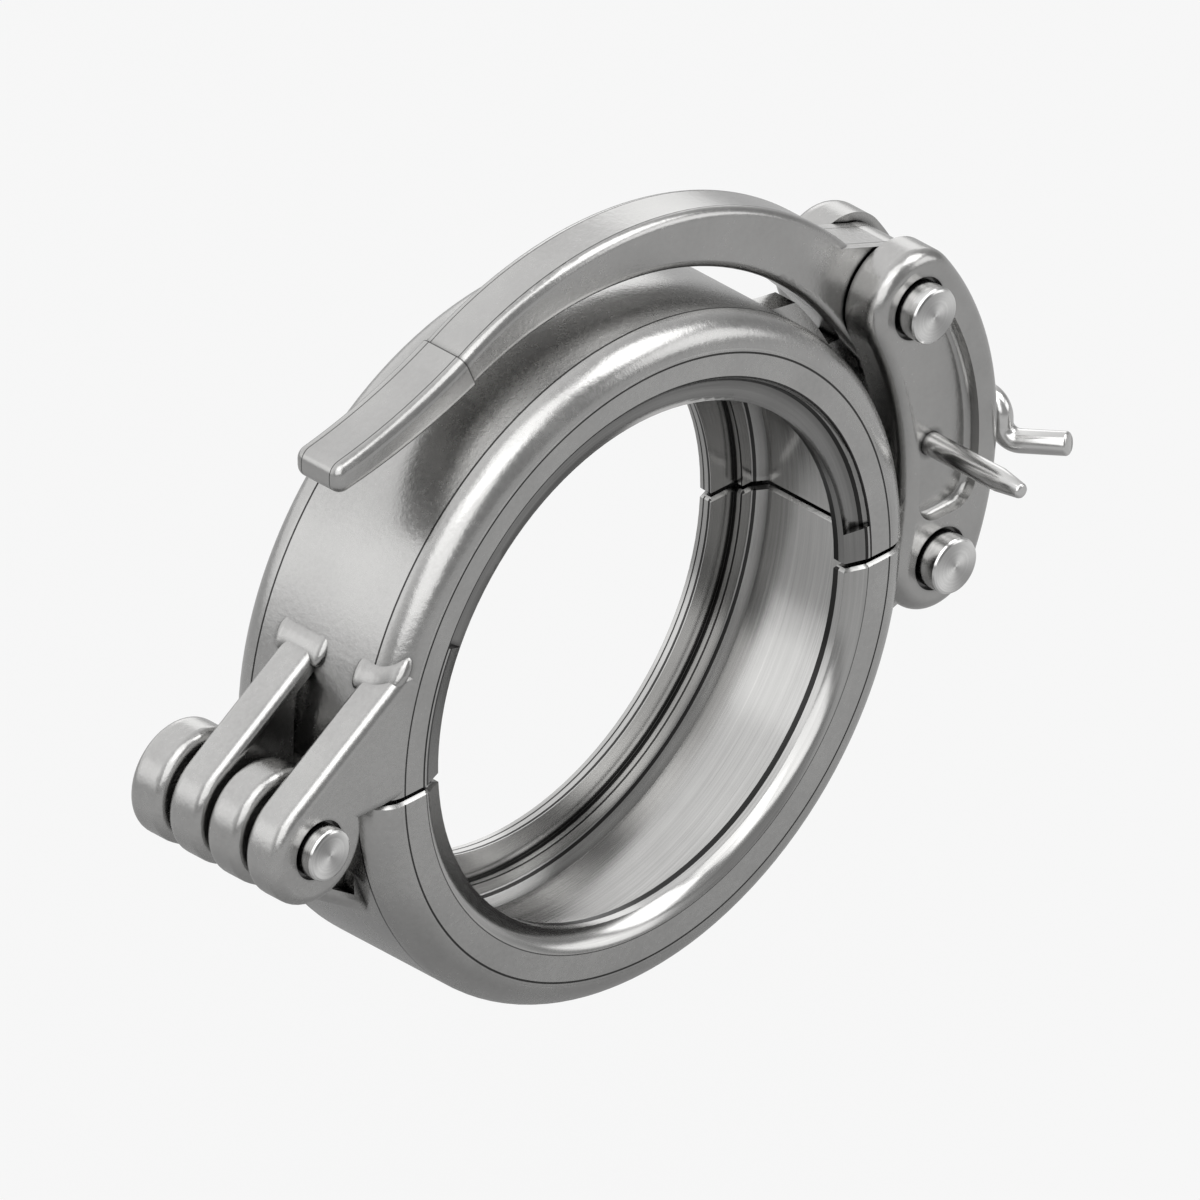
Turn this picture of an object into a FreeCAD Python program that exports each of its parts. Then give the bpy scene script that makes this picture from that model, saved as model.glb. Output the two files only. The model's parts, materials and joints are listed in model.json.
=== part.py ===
"""Hinged split coupling for collared pipe ends, closed by a lever toggle and held by a bent safety pin.

Two half rings meet on a flat split. They swing on a hinge at -X and are drawn together at +X by a lever,
two link plates and three pivot pins. All sizes are in millimetres. The origin is the bore's centre at mid
width, +Y runs to the rear along the pipe axis, +X points to the latch and +Z is up.
"""
import FreeCAD
import Part

import math
import os

# Ring and its section
BORE_R = 70.0
FACE_CONE = 6.0
STEP_RISE = 8.0
STEP_TOP_RISE = 3.0
GROOVE_RISE = 3.5
WALL = 7.5
CORNER_R = 8.5
WIDTH = 55.0
LIP_CONE_DEPTH = 2.2
LIP_DEPTH = 6.0
STEP_WIDTH = 3.0
GROOVE_SLOPE = 2.5
COVE_SAG = 1.8
COVE_EDGE = 1.0
COVE_START_DEG = 6.0
COVE_END_DEG = 153.0
SPLIT_Z = -2.5
SPLIT_GAP = 1.0
SPLIT_CHAMFER = 0.8

FACE_INNER_R = BORE_R + FACE_CONE
STEP_R = BORE_R + STEP_RISE
STEP_TOP_R = STEP_R + STEP_TOP_RISE
GROOVE_R = STEP_TOP_R + GROOVE_RISE
OUTER_R = GROOVE_R + WALL

# Hinge
HINGE_OUT = 21.0
HINGE_Z = -4.0
KNUCKLE_R = 15.5
KNUCKLE_INSET = 3.0
KNUCKLE_GAP = 2.0
HINGE_PIN_R = 7.0
HINGE_PIN_PROUD = 4.0
ARM_SLOPE_DEG = 32.7
ARM_RIM = 4.2
ARM_EDGE_R = 3.0
ARM_SINK = 9.0
ARM_CROWN_R = 4.0
ARM_POCKET_DEPTH = 3.6

HINGE_X = -(OUTER_R + HINGE_OUT)
KNUCKLE_WIDTH = (WIDTH - KNUCKLE_INSET - 3 * KNUCKLE_GAP) / 4

# Toggle pivots
UPPER_PIN_OUT = 10.0
UPPER_PIN_Z = 56.0
LOWER_PIN_OUT = 17.0
LOWER_PIN_Z = -19.0
THROW = 18.0
OVER_CENTRE = 1.8
LINK_PIN_R = 7.5
LINK_PIN_PROUD = 5.7
PIVOT_PIN_R = 5.0
PIN_CHAMFER = 0.7

UPPER_PIN_X = OUTER_R + UPPER_PIN_OUT
LOWER_PIN_X = OUTER_R + LOWER_PIN_OUT

# Link plates
PLATE_THICKNESS = 11.0
PLATE_GAP = 16.0
PLATE_BOSS_R = 14.8
PLATE_BELLY = 25.2
PLATE_WAIST = 8.2
PLATE_EDGE_R = 4.0
POCKET_INNER_RIM = 4.4
POCKET_OUTER_RIM = 8.4
POCKET_DEPTH = 3.8
POCKET_LOW_Z = -7.4
POCKET_TOP_Z = 48.5
POCKET_END_R = 7.0
POCKET_TOP_R = 1.5
POCKET_SHOULDER_R = 3.0
POCKET_SHOULDER_X = 8.0
POCKET_SHOULDER_DROP = 10.5
POCKET_FLOOR_R = 2.0
PIN_LAND_R = 9.4

# Lever
LEVER_WIDTH = 15.0
LEVER_EYE_R = 12.4
LEVER_EDGE_R = 2.8
HEEL_R = 9.5
LEVER_ROOT_GAP = 7.4
LEVER_ROOT_DEG = 34.8
LEVER_ROOT_TOP = 24.5
LEVER_ROOT_TOP_DEG = 39.0
LEVER_GAP = 4.9
LEVER_CROWN = 18.4
LEVER_CROWN_DEG = 88.0
LEVER_NECK_GAP = 5.4
LEVER_NECK_TOP = 15.2
LEVER_NECK_DEG = 113.8
GRIP_WIDTH = 15.8
GRIP_STEP = 0.5
GRIP_TIP_GAP = 24.4
GRIP_TIP_GAP_DEG = 138.6
GRIP_TIP_TOP = 30.3
GRIP_TIP_TOP_DEG = 135.7
GRIP_TIP_R = 3.4
GRIP_SAG = 1.7
LEVER_SWING_DEG = 120.0

# Lugs on the halves
TONGUE_THICKNESS = 7.0
TONGUE_EYE_R = 7.5
TONGUE_TOP_CLEAR = 2.0
TONGUE_BOW_DEG = 12.0
TONGUE_ROOT_DEG = 4.0
SEAT_WALL = 3.0
LOWER_LUG_WALL = 3.0
LOWER_LUG_ROOT_DEG = -30.0
LUG_SINK = 2.0

# Toggle motion, as constant shares of the lever's swing
LOWER_SHARE = 0.045
LINK_SHARE = 0.87

# Safety pin
SAFETY_R = 3.1
SAFETY_OUT = 17.5
SAFETY_Z = 12.4
SAFETY_FRONT = 20.5
SAFETY_TAPER = 8.0
SAFETY_TIP_R = 2.0
SAFETY_REAR = 8.0
SAFETY_RETURN_GAP = 4.8
SAFETY_RETURN_Y = -13.5
SAFETY_DROP = 11.0
SAFETY_BEND_R = 4.5
SAFETY_GRIP = 18.0
SAFETY_GRIP_TURN_DEG = 64.0
SAFETY_GRIP_RISE_DEG = 8.0

SAFETY_X = OUTER_R + SAFETY_OUT

# Clearances
RUNNING = 0.05
SLIDE_CLEAR = 0.1
SIDE_CLEAR = 0.5
TONGUE_CLEAR = 0.3
PIN_RING = 1.0
PIN_RING_DEPTH = 1.4

# How far the cutting tools run past the part
REACH = 60.0

HALF_W = WIDTH / 2
PLATE_IN = PLATE_GAP / 2
PLATE_OUT = PLATE_IN + PLATE_THICKNESS


def vec(x, y, z):
    """A point or direction."""
    return FreeCAD.Vector(x, y, z)


def polar(centre, radius, degrees):
    """The point at a radius and angle from a centre, both as (x, z) pairs."""
    angle = math.radians(degrees)
    return (centre[0] + radius * math.cos(angle), centre[1] + radius * math.sin(angle))


def disc(centre, radius, y_low, y_high):
    """A cylinder along Y between two planes."""
    base = vec(centre[0], y_low, centre[1])
    return Part.makeCylinder(radius, y_high - y_low, base, vec(0, 1, 0))


def plate(path, y_low, y_high):
    """Extrude a closed outline of (x, z) points along Y.

    An entry of three numbers pairs, written ("arc", middle, end), bows the edge through its middle point.
    """
    edges = []
    start = path[0]
    here = start
    for entry in path[1:] + [start]:
        if entry[0] == "arc":
            middle = entry[1]
            end = entry[2]
            bow = Part.Arc(vec(here[0], y_low, here[1]), vec(middle[0], y_low, middle[1]),
                           vec(end[0], y_low, end[1]))
            edges.append(bow.toShape())
        else:
            end = entry
            if math.dist(here, end) > 1e-6:
                edges.append(Part.makeLine(vec(here[0], y_low, here[1]), vec(end[0], y_low, end[1])))
        here = end
    face = Part.Face(Part.Wire(edges))
    return face.extrude(vec(0, y_high - y_low, 0))


def soften(shape, radius, pick):
    """Round the edges that a test picks."""
    return shape.makeFillet(radius, [edge for edge in shape.Edges if pick(edge)])


def on_plane(edge, y_value):
    """True where an edge lies in the plane at a depth."""
    box = edge.BoundBox
    return abs(box.YMin - y_value) < 1e-4 and abs(box.YMax - y_value) < 1e-4


def upright(edge):
    """True for a straight edge along Y."""
    box = edge.BoundBox
    return box.XLength < 1e-4 and box.ZLength < 1e-4


def ring_section():
    """The half ring's section as a face in the plane X = radius, to be turned about the pipe axis."""
    lip_in = HALF_W - LIP_DEPTH
    step_in = lip_in - STEP_WIDTH
    floor_in = step_in - GROOVE_SLOPE
    bow = CORNER_R * (1 - math.sqrt(0.5))
    rear = [(FACE_INNER_R, HALF_W), (BORE_R, HALF_W - LIP_CONE_DEPTH), (BORE_R, lip_in), (STEP_R, lip_in),
            (STEP_R, step_in), (STEP_TOP_R, step_in), (GROOVE_R, floor_in)]
    front = [(radius, -y) for radius, y in reversed(rear)]
    corner_in = OUTER_R - CORNER_R
    chain = rear + front
    edges = []
    for low, high in zip(chain, chain[1:]):
        edges.append(Part.makeLine(vec(low[0], low[1], 0), vec(high[0], high[1], 0)))
    edges.append(Part.makeLine(vec(FACE_INNER_R, -HALF_W, 0), vec(corner_in, -HALF_W, 0)))
    edges.append(Part.Arc(vec(corner_in, -HALF_W, 0), vec(OUTER_R - bow, -HALF_W + bow, 0),
                          vec(OUTER_R, -HALF_W + CORNER_R, 0)).toShape())
    edges.append(Part.makeLine(vec(OUTER_R, -HALF_W + CORNER_R, 0), vec(OUTER_R, HALF_W - CORNER_R, 0)))
    edges.append(Part.Arc(vec(OUTER_R, HALF_W - CORNER_R, 0), vec(OUTER_R - bow, HALF_W - bow, 0),
                          vec(corner_in, HALF_W, 0)).toShape())
    edges.append(Part.makeLine(vec(corner_in, HALF_W, 0), vec(FACE_INNER_R, HALF_W, 0)))
    return Part.Face(Part.Wire(edges))


def ring():
    """The whole ring, before it is split."""
    return ring_section().revolve(vec(0, 0, 0), vec(0, 1, 0), 360)


def cove():
    """The hollow in the upper half's front lip: a round groove between the bore's edge and the flat face."""
    inner = (BORE_R, LIP_CONE_DEPTH - HALF_W)
    outer = (FACE_INNER_R + COVE_EDGE, -HALF_W)
    chord = math.dist(inner, outer)
    radius = (chord ** 2 / 4 + COVE_SAG ** 2) / (2 * COVE_SAG)
    offset = radius - COVE_SAG
    centre_r = (inner[0] + outer[0]) / 2 + offset * (outer[1] - inner[1]) / chord
    centre_y = (inner[1] + outer[1]) / 2 - offset * (outer[0] - inner[0]) / chord
    circle = Part.makeCircle(radius, vec(centre_r, centre_y, 0), vec(0, 0, 1))
    face = Part.Face(Part.Wire([circle]))
    face.rotate(vec(0, 0, 0), vec(0, 1, 0), -COVE_START_DEG)
    return face.revolve(vec(0, 0, 0), vec(0, -1, 0), COVE_END_DEG - COVE_START_DEG)


def half_space(above):
    """A block that keeps one side of the split, less half of its gap."""
    reach = 200.0
    if above:
        return Part.makeBox(2 * reach, 2 * reach, reach, vec(-reach, -reach, SPLIT_Z + SPLIT_GAP / 2))
    return Part.makeBox(2 * reach, 2 * reach, reach, vec(-reach, -reach, SPLIT_Z - SPLIT_GAP / 2 - reach))


def half_ring(above):
    """One half of the ring, with the edges at the split chamfered."""
    side = 1 if above else -1
    level = SPLIT_Z + side * SPLIT_GAP / 2
    body = ring().common(half_space(above))
    edges = [edge for edge in body.Edges
             if abs(edge.BoundBox.ZMin - level) < 1e-4 and abs(edge.BoundBox.ZMax - level) < 1e-4]
    return body.makeChamfer(SPLIT_CHAMFER, edges)


def knuckle_span(index):
    """The front and rear planes of a knuckle, counted from the front."""
    low = -HALF_W + index * (KNUCKLE_WIDTH + KNUCKLE_GAP)
    return low, low + KNUCKLE_WIDTH


def middle_of(edge):
    """The point halfway along an edge."""
    return edge.valueAt((edge.FirstParameter + edge.LastParameter) / 2)


def hinge_arm(index, upward, pocket):
    """One knuckle with the arm that carries it from the ring, as a solid to be joined to its half."""
    low, high = knuckle_span(index)
    centre = (HINGE_X, HINGE_Z)
    turn = 1 if upward else -1
    slope = math.tan(math.radians(ARM_SLOPE_DEG))
    tangent = polar(centre, KNUCKLE_R, turn * (90 + ARM_SLOPE_DEG))
    crown_x = ARM_SINK - OUTER_R
    crown = (crown_x, tangent[1] + turn * (crown_x - tangent[0]) * slope)
    split = SPLIT_Z + turn * SPLIT_GAP / 2
    seat_r = FACE_INNER_R + ARM_RIM
    crown_deg = math.degrees(math.atan2(crown[1], crown[0]))
    split_deg = turn * 180 - math.degrees(math.asin(split / seat_r))
    seat_low = polar((0, 0), seat_r, split_deg)
    arm = plate([tangent, crown, polar((0, 0), seat_r, crown_deg),
                 ("arc", polar((0, 0), seat_r, (crown_deg + split_deg) / 2), seat_low),
                 (HINGE_X + KNUCKLE_R / 2, split)], low, high)
    arm = soften(arm, ARM_CROWN_R, lambda edge: upright(edge) and abs(edge.BoundBox.ZMin - crown[1]) < 1e-3)
    knuckle = disc(centre, KNUCKLE_R, low, high)
    solid = arm.fuse(knuckle).removeSplitter()

    def outer(edge):
        """True for the edges of both faces that stand clear of the ring."""
        spot = middle_of(edge)
        return (on_plane(edge, low) or on_plane(edge, high)) and math.hypot(spot.x, spot.z) > seat_r + 0.1

    solid = soften(solid, ARM_EDGE_R, outer)
    if pocket:
        shift = ARM_RIM / math.cos(math.radians(ARM_SLOPE_DEG))
        web_x = HINGE_X + KNUCKLE_R + ARM_RIM / 2
        line_z = tangent[1] + turn * ((web_x - tangent[0]) * slope - shift)
        end_x = -OUTER_R + ARM_RIM
        web_top = tangent[1] + turn * ((end_x - tangent[0]) * slope - shift)
        pocket_path = [(web_x, line_z), (end_x, web_top), (end_x, split + turn * ARM_RIM),
                       (web_x, split + turn * ARM_RIM)]
        front = plate(pocket_path, low - 1, low + ARM_POCKET_DEPTH)
        rear = plate(pocket_path, high - ARM_POCKET_DEPTH, high + 1)
        solid = solid.cut(front).cut(rear)
    return solid


def lever_pivot():
    """The lever's own pivot: a throw below the upper pin and just past the line between the two link pins."""
    run_x = LOWER_PIN_X - UPPER_PIN_X
    run_z = LOWER_PIN_Z - UPPER_PIN_Z
    length = math.hypot(run_x, run_z)
    along = math.sqrt(THROW ** 2 - OVER_CENTRE ** 2)
    x = UPPER_PIN_X + along * run_x / length - OVER_CENTRE * run_z / length
    z = UPPER_PIN_Z + along * run_z / length + OVER_CENTRE * run_x / length
    return (x, z)


def turned(point, centre, degrees):
    """An (x, z) point turned clockwise as seen from the front."""
    angle = math.radians(-degrees)
    dx = point[0] - centre[0]
    dz = point[1] - centre[1]
    return (centre[0] + dx * math.cos(angle) - dz * math.sin(angle),
            centre[1] + dx * math.sin(angle) + dz * math.cos(angle))


def lower_pin_path():
    """Where the lower pin goes in the lower half's own frame as the lever swings."""
    pivot = lever_pivot()
    steps = 24
    path = []
    for step in range(steps + 1):
        swing = LEVER_SWING_DEG * step / steps
        top = turned((UPPER_PIN_X, UPPER_PIN_Z), pivot, swing)
        pin = turned((LOWER_PIN_X, LOWER_PIN_Z), pivot, swing)
        pin = turned(pin, top, -LINK_SHARE * swing)
        path.append(turned(pin, (HINGE_X, HINGE_Z), -LOWER_SHARE * swing))
    return path


def lower_pin_hole():
    """Centre and radius of the hole that clears the lower pin over the whole swing."""
    path = lower_pin_path()
    low_x = min(spot[0] for spot in path)
    high_x = max(spot[0] for spot in path)
    low_z = min(spot[1] for spot in path)
    high_z = max(spot[1] for spot in path)
    centre = ((low_x + high_x) / 2, (low_z + high_z) / 2)
    reach = max(math.dist(spot, centre) for spot in path)
    return centre, reach + LINK_PIN_R + SIDE_CLEAR / 2


def upper_lug():
    """The tongue on the upper half that carries the lever's pivot and the safety pin's seat."""
    half = TONGUE_THICKNESS / 2
    pivot = lever_pivot()
    centre = (0.0, 0.0)
    root_r = OUTER_R - LUG_SINK
    top_z = pivot[1] + TONGUE_EYE_R
    top_r = OUTER_R + LEVER_ROOT_GAP - TONGUE_TOP_CLEAR
    low_z = SAFETY_Z - SAFETY_R - SEAT_WALL
    shoulder_deg = math.degrees(math.asin(top_z / top_r))
    root_deg = shoulder_deg + 1.5 * TONGUE_BOW_DEG
    outline = [(pivot[0], top_z),
               polar(centre, top_r, shoulder_deg),
               ("arc", polar(centre, top_r, shoulder_deg + TONGUE_BOW_DEG / 2),
                polar(centre, top_r, shoulder_deg + TONGUE_BOW_DEG)),
               polar(centre, root_r, root_deg),
               ("arc", polar(centre, root_r, (root_deg + TONGUE_ROOT_DEG) / 2),
                polar(centre, root_r, TONGUE_ROOT_DEG)),
               (SAFETY_X - SAFETY_R, low_z),
               (SAFETY_X + SAFETY_R, low_z),
               (pivot[0] + TONGUE_EYE_R, SAFETY_Z + SAFETY_R + SEAT_WALL),
               (pivot[0] + TONGUE_EYE_R, pivot[1])]
    lug = plate(outline, -half, half).fuse(disc(pivot, TONGUE_EYE_R, -half, half))
    seat_r = SAFETY_R + TONGUE_CLEAR
    far = SAFETY_X + REACH
    mouth = plate([(SAFETY_X, SAFETY_Z + seat_r), (far, SAFETY_Z + seat_r), (far, SAFETY_Z - REACH),
                   polar((SAFETY_X, SAFETY_Z), seat_r, 225)], -half - 1, half + 1)
    seat = disc((SAFETY_X, SAFETY_Z), seat_r, -half - 1, half + 1).fuse(mouth)
    lug = lug.cut(seat)
    return lug.cut(disc(pivot, PIVOT_PIN_R, -half - 1, half + 1))


def lower_lug():
    """The lug on the lower half that the lower pin draws up, with the hole that clears the pin's path."""
    half = LEVER_WIDTH / 2
    centre, hole_r = lower_pin_hole()
    eye_r = hole_r + LOWER_LUG_WALL
    ring_centre = (0.0, 0.0)
    root_r = OUTER_R - LUG_SINK
    top_z = SPLIT_Z - SPLIT_GAP / 2 - SPLIT_CHAMFER
    root_x = math.sqrt(root_r ** 2 - top_z ** 2)
    root_deg = math.degrees(math.atan2(top_z, root_x))
    outline = [polar(centre, eye_r, 100), (OUTER_R + LUG_SINK, top_z), (root_x, top_z),
               ("arc", polar(ring_centre, root_r, (root_deg + LOWER_LUG_ROOT_DEG) / 2),
                polar(ring_centre, root_r, LOWER_LUG_ROOT_DEG)),
               polar(centre, eye_r, -80)]
    lug = plate(outline, -half, half).fuse(disc(centre, eye_r, -half, half))
    return lug.cut(disc(centre, hole_r, -half - 1, half + 1))


def upper_half():
    """The upper casting: half ring, coved lip, two hinge ears and the pivot tongue."""
    body = half_ring(True).cut(cove())
    for index in (0, 2):
        body = body.fuse(hinge_arm(index, True, index == 2))
    body = body.fuse(upper_lug())
    first = knuckle_span(0)
    body = body.cut(disc((HINGE_X, HINGE_Z), HINGE_PIN_R, -HALF_W - 1, HALF_W + KNUCKLE_WIDTH))
    ring_cut = disc((HINGE_X, HINGE_Z), HINGE_PIN_R + PIN_RING, first[0] - 1, first[0] + PIN_RING_DEPTH)
    return body.cut(ring_cut).removeSplitter()


def lower_half():
    """The lower casting: half ring, two hinge ears and the draw lug."""
    body = half_ring(False)
    for index in (1, 3):
        body = body.fuse(hinge_arm(index, False, True))
    body = body.fuse(lower_lug())
    hole = disc((HINGE_X, HINGE_Z), HINGE_PIN_R + RUNNING, -HALF_W - 1, HALF_W + KNUCKLE_WIDTH)
    return body.cut(hole).removeSplitter()


def pin(centre, radius, y_low, y_high):
    """A plain pin with a small chamfer at both ends."""
    solid = disc(centre, radius, y_low, y_high)
    ends = [edge for edge in solid.Edges if on_plane(edge, y_low) or on_plane(edge, y_high)]
    return solid.makeChamfer(PIN_CHAMFER, ends)


def link_bows():
    """Centres and radii of the plate's two long arcs, tangent to both round ends.

    The belly arc bows outwards past the line between the pins, the waist arc hollows the side at the ring.
    """
    middle = ((UPPER_PIN_X + LOWER_PIN_X) / 2, (UPPER_PIN_Z + LOWER_PIN_Z) / 2)
    run_x = UPPER_PIN_X - LOWER_PIN_X
    run_z = UPPER_PIN_Z - LOWER_PIN_Z
    length = math.hypot(run_x, run_z)
    outward = (run_z / length, -run_x / length)
    quarter = length ** 2 / 4 - PLATE_BOSS_R ** 2
    belly_r = (quarter + PLATE_BELLY ** 2) / (2 * (PLATE_BELLY - PLATE_BOSS_R))
    waist_r = (quarter + PLATE_WAIST ** 2) / (2 * (PLATE_BOSS_R - PLATE_WAIST))
    belly_back = belly_r - PLATE_BELLY
    waist_back = waist_r + PLATE_WAIST
    belly = (middle[0] - outward[0] * belly_back, middle[1] - outward[1] * belly_back)
    waist = (middle[0] - outward[0] * waist_back, middle[1] - outward[1] * waist_back)
    return belly, belly_r, waist, waist_r, middle, outward


def beyond(centre, target, radius):
    """The point at a radius from a centre on the ray through a target."""
    reach = math.dist(centre, target)
    share = radius / reach
    return (centre[0] + (target[0] - centre[0]) * share, centre[1] + (target[1] - centre[1]) * share)


def link_blank(y_low, y_high):
    """The plate's crescent: two round ends, a hollow waist and a bowed belly, all tangent."""
    belly, belly_r, waist, waist_r, middle, outward = link_bows()
    upper = (UPPER_PIN_X, UPPER_PIN_Z)
    lower = (LOWER_PIN_X, LOWER_PIN_Z)
    waist_top = beyond(waist, upper, waist_r)
    waist_low = beyond(waist, lower, waist_r)
    belly_top = beyond(belly, upper, belly_r)
    belly_low = beyond(belly, lower, belly_r)
    waist_mid = (middle[0] - outward[0] * PLATE_WAIST, middle[1] - outward[1] * PLATE_WAIST)
    belly_mid = (middle[0] + outward[0] * PLATE_BELLY, middle[1] + outward[1] * PLATE_BELLY)
    end_reach = math.dist(middle, upper) + PLATE_BOSS_R
    outline = [waist_top, ("arc", waist_mid, waist_low),
               ("arc", beyond(middle, lower, end_reach), belly_low),
               ("arc", belly_mid, belly_top),
               ("arc", beyond(middle, upper, end_reach), waist_top)]
    return plate(outline, y_low, y_high)


def pocket_tool(floor, mouth):
    """The kidney pocket's solid, from its floor plane out past the plate's face."""
    low = min(floor, mouth)
    high = max(floor, mouth)
    belly, belly_r, waist, waist_r, middle, outward = link_bows()
    body = disc(belly, belly_r - POCKET_OUTER_RIM, low, high)
    body = body.cut(disc(waist, waist_r + POCKET_INNER_RIM, low, high))
    reach = 2 * PLATE_BELLY
    corner = vec(middle[0] - reach / 2, low, POCKET_LOW_Z)
    band = Part.makeBox(reach, high - low, POCKET_TOP_Z - POCKET_LOW_Z, corner)
    upper = (UPPER_PIN_X, UPPER_PIN_Z)
    under = (UPPER_PIN_X, UPPER_PIN_Z - PIN_LAND_R)
    shoulder = (under[0] - POCKET_SHOULDER_X, under[1] - POCKET_SHOULDER_DROP)
    beside = plate([shoulder, under, upper, (UPPER_PIN_X - REACH, UPPER_PIN_Z),
                    (UPPER_PIN_X - REACH, shoulder[1])], low, high)
    body = body.common(band).cut(disc(upper, PIN_LAND_R, low, high)).cut(beside).removeSplitter()
    body = soften(body, POCKET_END_R, lambda edge: upright(edge) and edge.BoundBox.ZMax < POCKET_LOW_Z + 2.0)
    body = soften(body, POCKET_TOP_R, lambda edge: upright(edge) and edge.BoundBox.ZMin > POCKET_TOP_Z - 2.0)
    body = soften(body, POCKET_SHOULDER_R, lambda edge: upright(edge) and edge.BoundBox.XMin < under[0] - 2.0
                  and edge.BoundBox.ZMin > shoulder[1])
    return soften(body, POCKET_FLOOR_R, lambda edge: on_plane(edge, floor))


def link_plate(front):
    """One link plate, with its pocket and pin rings on the outward side."""
    side = -1 if front else 1
    y_in = side * PLATE_IN
    y_out = side * PLATE_OUT
    low = min(y_in, y_out)
    high = max(y_in, y_out)
    body = soften(link_blank(low, high), PLATE_EDGE_R, lambda edge: on_plane(edge, y_out))
    body = body.cut(pocket_tool(y_out - side * POCKET_DEPTH, y_out + side * POCKET_DEPTH))
    for centre in ((UPPER_PIN_X, UPPER_PIN_Z), (LOWER_PIN_X, LOWER_PIN_Z)):
        body = body.cut(disc(centre, LINK_PIN_R, low - 1, high + 1))
        ring_low = min(y_out, y_out - side * PIN_RING_DEPTH)
        body = body.cut(disc(centre, LINK_PIN_R + PIN_RING, ring_low, ring_low + PIN_RING_DEPTH))
    return body.cut(disc((SAFETY_X, SAFETY_Z), SAFETY_R + SLIDE_CLEAR, low - 1, high + 1))


def sagged(start, end):
    """The middle of a grip's edge, sunk towards the ring."""
    middle = ((start[0] + end[0]) / 2, (start[1] + end[1]) / 2)
    return beyond((0.0, 0.0), middle, math.hypot(middle[0], middle[1]) - GRIP_SAG)


def lever():
    """The lever: eye and forked heel between the plates, arm over the ring, and flared grip."""
    half = LEVER_WIDTH / 2
    centre = (0.0, 0.0)
    eye = (UPPER_PIN_X, UPPER_PIN_Z)
    pivot = lever_pivot()
    root_outer = polar(centre, OUTER_R + LEVER_ROOT_TOP, LEVER_ROOT_TOP_DEG)
    root_inner = polar(centre, OUTER_R + LEVER_ROOT_GAP, LEVER_ROOT_DEG)
    neck_outer = polar(centre, OUTER_R + LEVER_NECK_TOP, LEVER_NECK_DEG)
    neck_inner = polar(centre, OUTER_R + LEVER_NECK_GAP, LEVER_NECK_DEG)
    crown = polar(centre, OUTER_R + LEVER_CROWN, LEVER_CROWN_DEG)
    hollow = polar(centre, OUTER_R + LEVER_GAP, LEVER_CROWN_DEG)
    arm = plate([polar(eye, LEVER_EYE_R, 80), root_outer, ("arc", crown, neck_outer),
                 neck_inner, ("arc", hollow, root_inner),
                 polar(pivot, HEEL_R, 190), polar(pivot, HEEL_R, 270), polar(pivot, HEEL_R, 350),
                 polar(eye, LEVER_EYE_R, -20)], -half, half)
    arm = arm.fuse(disc(eye, LEVER_EYE_R, -half, half))
    arm = arm.fuse(disc(pivot, HEEL_R, -half, half)).removeSplitter()
    arm = soften(arm, LEVER_EDGE_R, lambda edge: (on_plane(edge, -half) or on_plane(edge, half))
                 and edge.BoundBox.XMax < root_outer[0] + 0.5 and edge.BoundBox.XLength > LEVER_WIDTH)
    grip_half = GRIP_WIDTH / 2
    tip_outer = polar(centre, OUTER_R + GRIP_TIP_TOP, GRIP_TIP_TOP_DEG)
    tip_inner = polar(centre, OUTER_R + GRIP_TIP_GAP, GRIP_TIP_GAP_DEG)
    grip_outer = polar(centre, OUTER_R + LEVER_NECK_TOP + GRIP_STEP, LEVER_NECK_DEG)
    grip_inner = polar(centre, OUTER_R + LEVER_NECK_GAP - GRIP_STEP, LEVER_NECK_DEG)
    grip = plate([grip_outer, ("arc", sagged(grip_outer, tip_outer), tip_outer),
                  tip_inner, ("arc", sagged(grip_inner, tip_inner), grip_inner)], -grip_half, grip_half)
    mid_x = (grip_outer[0] + tip_outer[0]) / 2
    grip = soften(grip, GRIP_TIP_R, lambda edge: upright(edge) and edge.BoundBox.XMax < mid_x)
    grip = soften(grip, LEVER_EDGE_R, lambda edge: (on_plane(edge, -grip_half) or on_plane(edge, grip_half))
                  and edge.BoundBox.XMin < grip_outer[0] - 0.1)
    body = arm.fuse(grip)
    slot_half = TONGUE_THICKNESS / 2 + TONGUE_CLEAR
    slot_r = TONGUE_EYE_R + TONGUE_CLEAR
    spread = LEVER_SWING_DEG - 90
    apex = polar(pivot, slot_r / math.cos(math.radians(spread / 2)), 90 + spread / 2)
    slot = plate([apex, polar(apex, REACH, 180), polar(pivot, REACH, 270),
                  polar(pivot, REACH, 330), polar(apex, REACH, spread)], -slot_half, slot_half)
    slot = slot.fuse(disc(pivot, slot_r, -slot_half, slot_half))
    body = body.cut(slot)
    body = body.cut(disc(eye, LINK_PIN_R + RUNNING, -half - 1, half + 1))
    return body.cut(disc(pivot, PIVOT_PIN_R + RUNNING, -half - 1, half + 1))


def bent_rod(points, bend_r, rod_r):
    """A round rod along straight runs joined by tangent bends."""
    edges = []
    here = points[0]
    for corner, after in zip(points[1:-1], points[2:]):
        into = (corner - here).normalize()
        out = (after - corner).normalize()
        half_turn = math.acos(max(-1.0, min(1.0, into.dot(out)))) / 2
        trim = bend_r * math.tan(half_turn)
        start = corner - into * trim
        end = corner + out * trim
        bisector = (out - into).normalize()
        centre = corner + bisector * (bend_r / math.cos(half_turn))
        middle = centre - bisector * bend_r
        edges.append(Part.makeLine(here, start))
        edges.append(Part.Arc(start, middle, end).toShape())
        here = end
    edges.append(Part.makeLine(here, points[-1]))
    wire = Part.Wire(edges)
    first = (points[1] - points[0]).normalize()
    profile = Part.Wire([Part.makeCircle(rod_r, points[0], first)])
    return wire.makePipeShell([profile], True, True)


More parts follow.
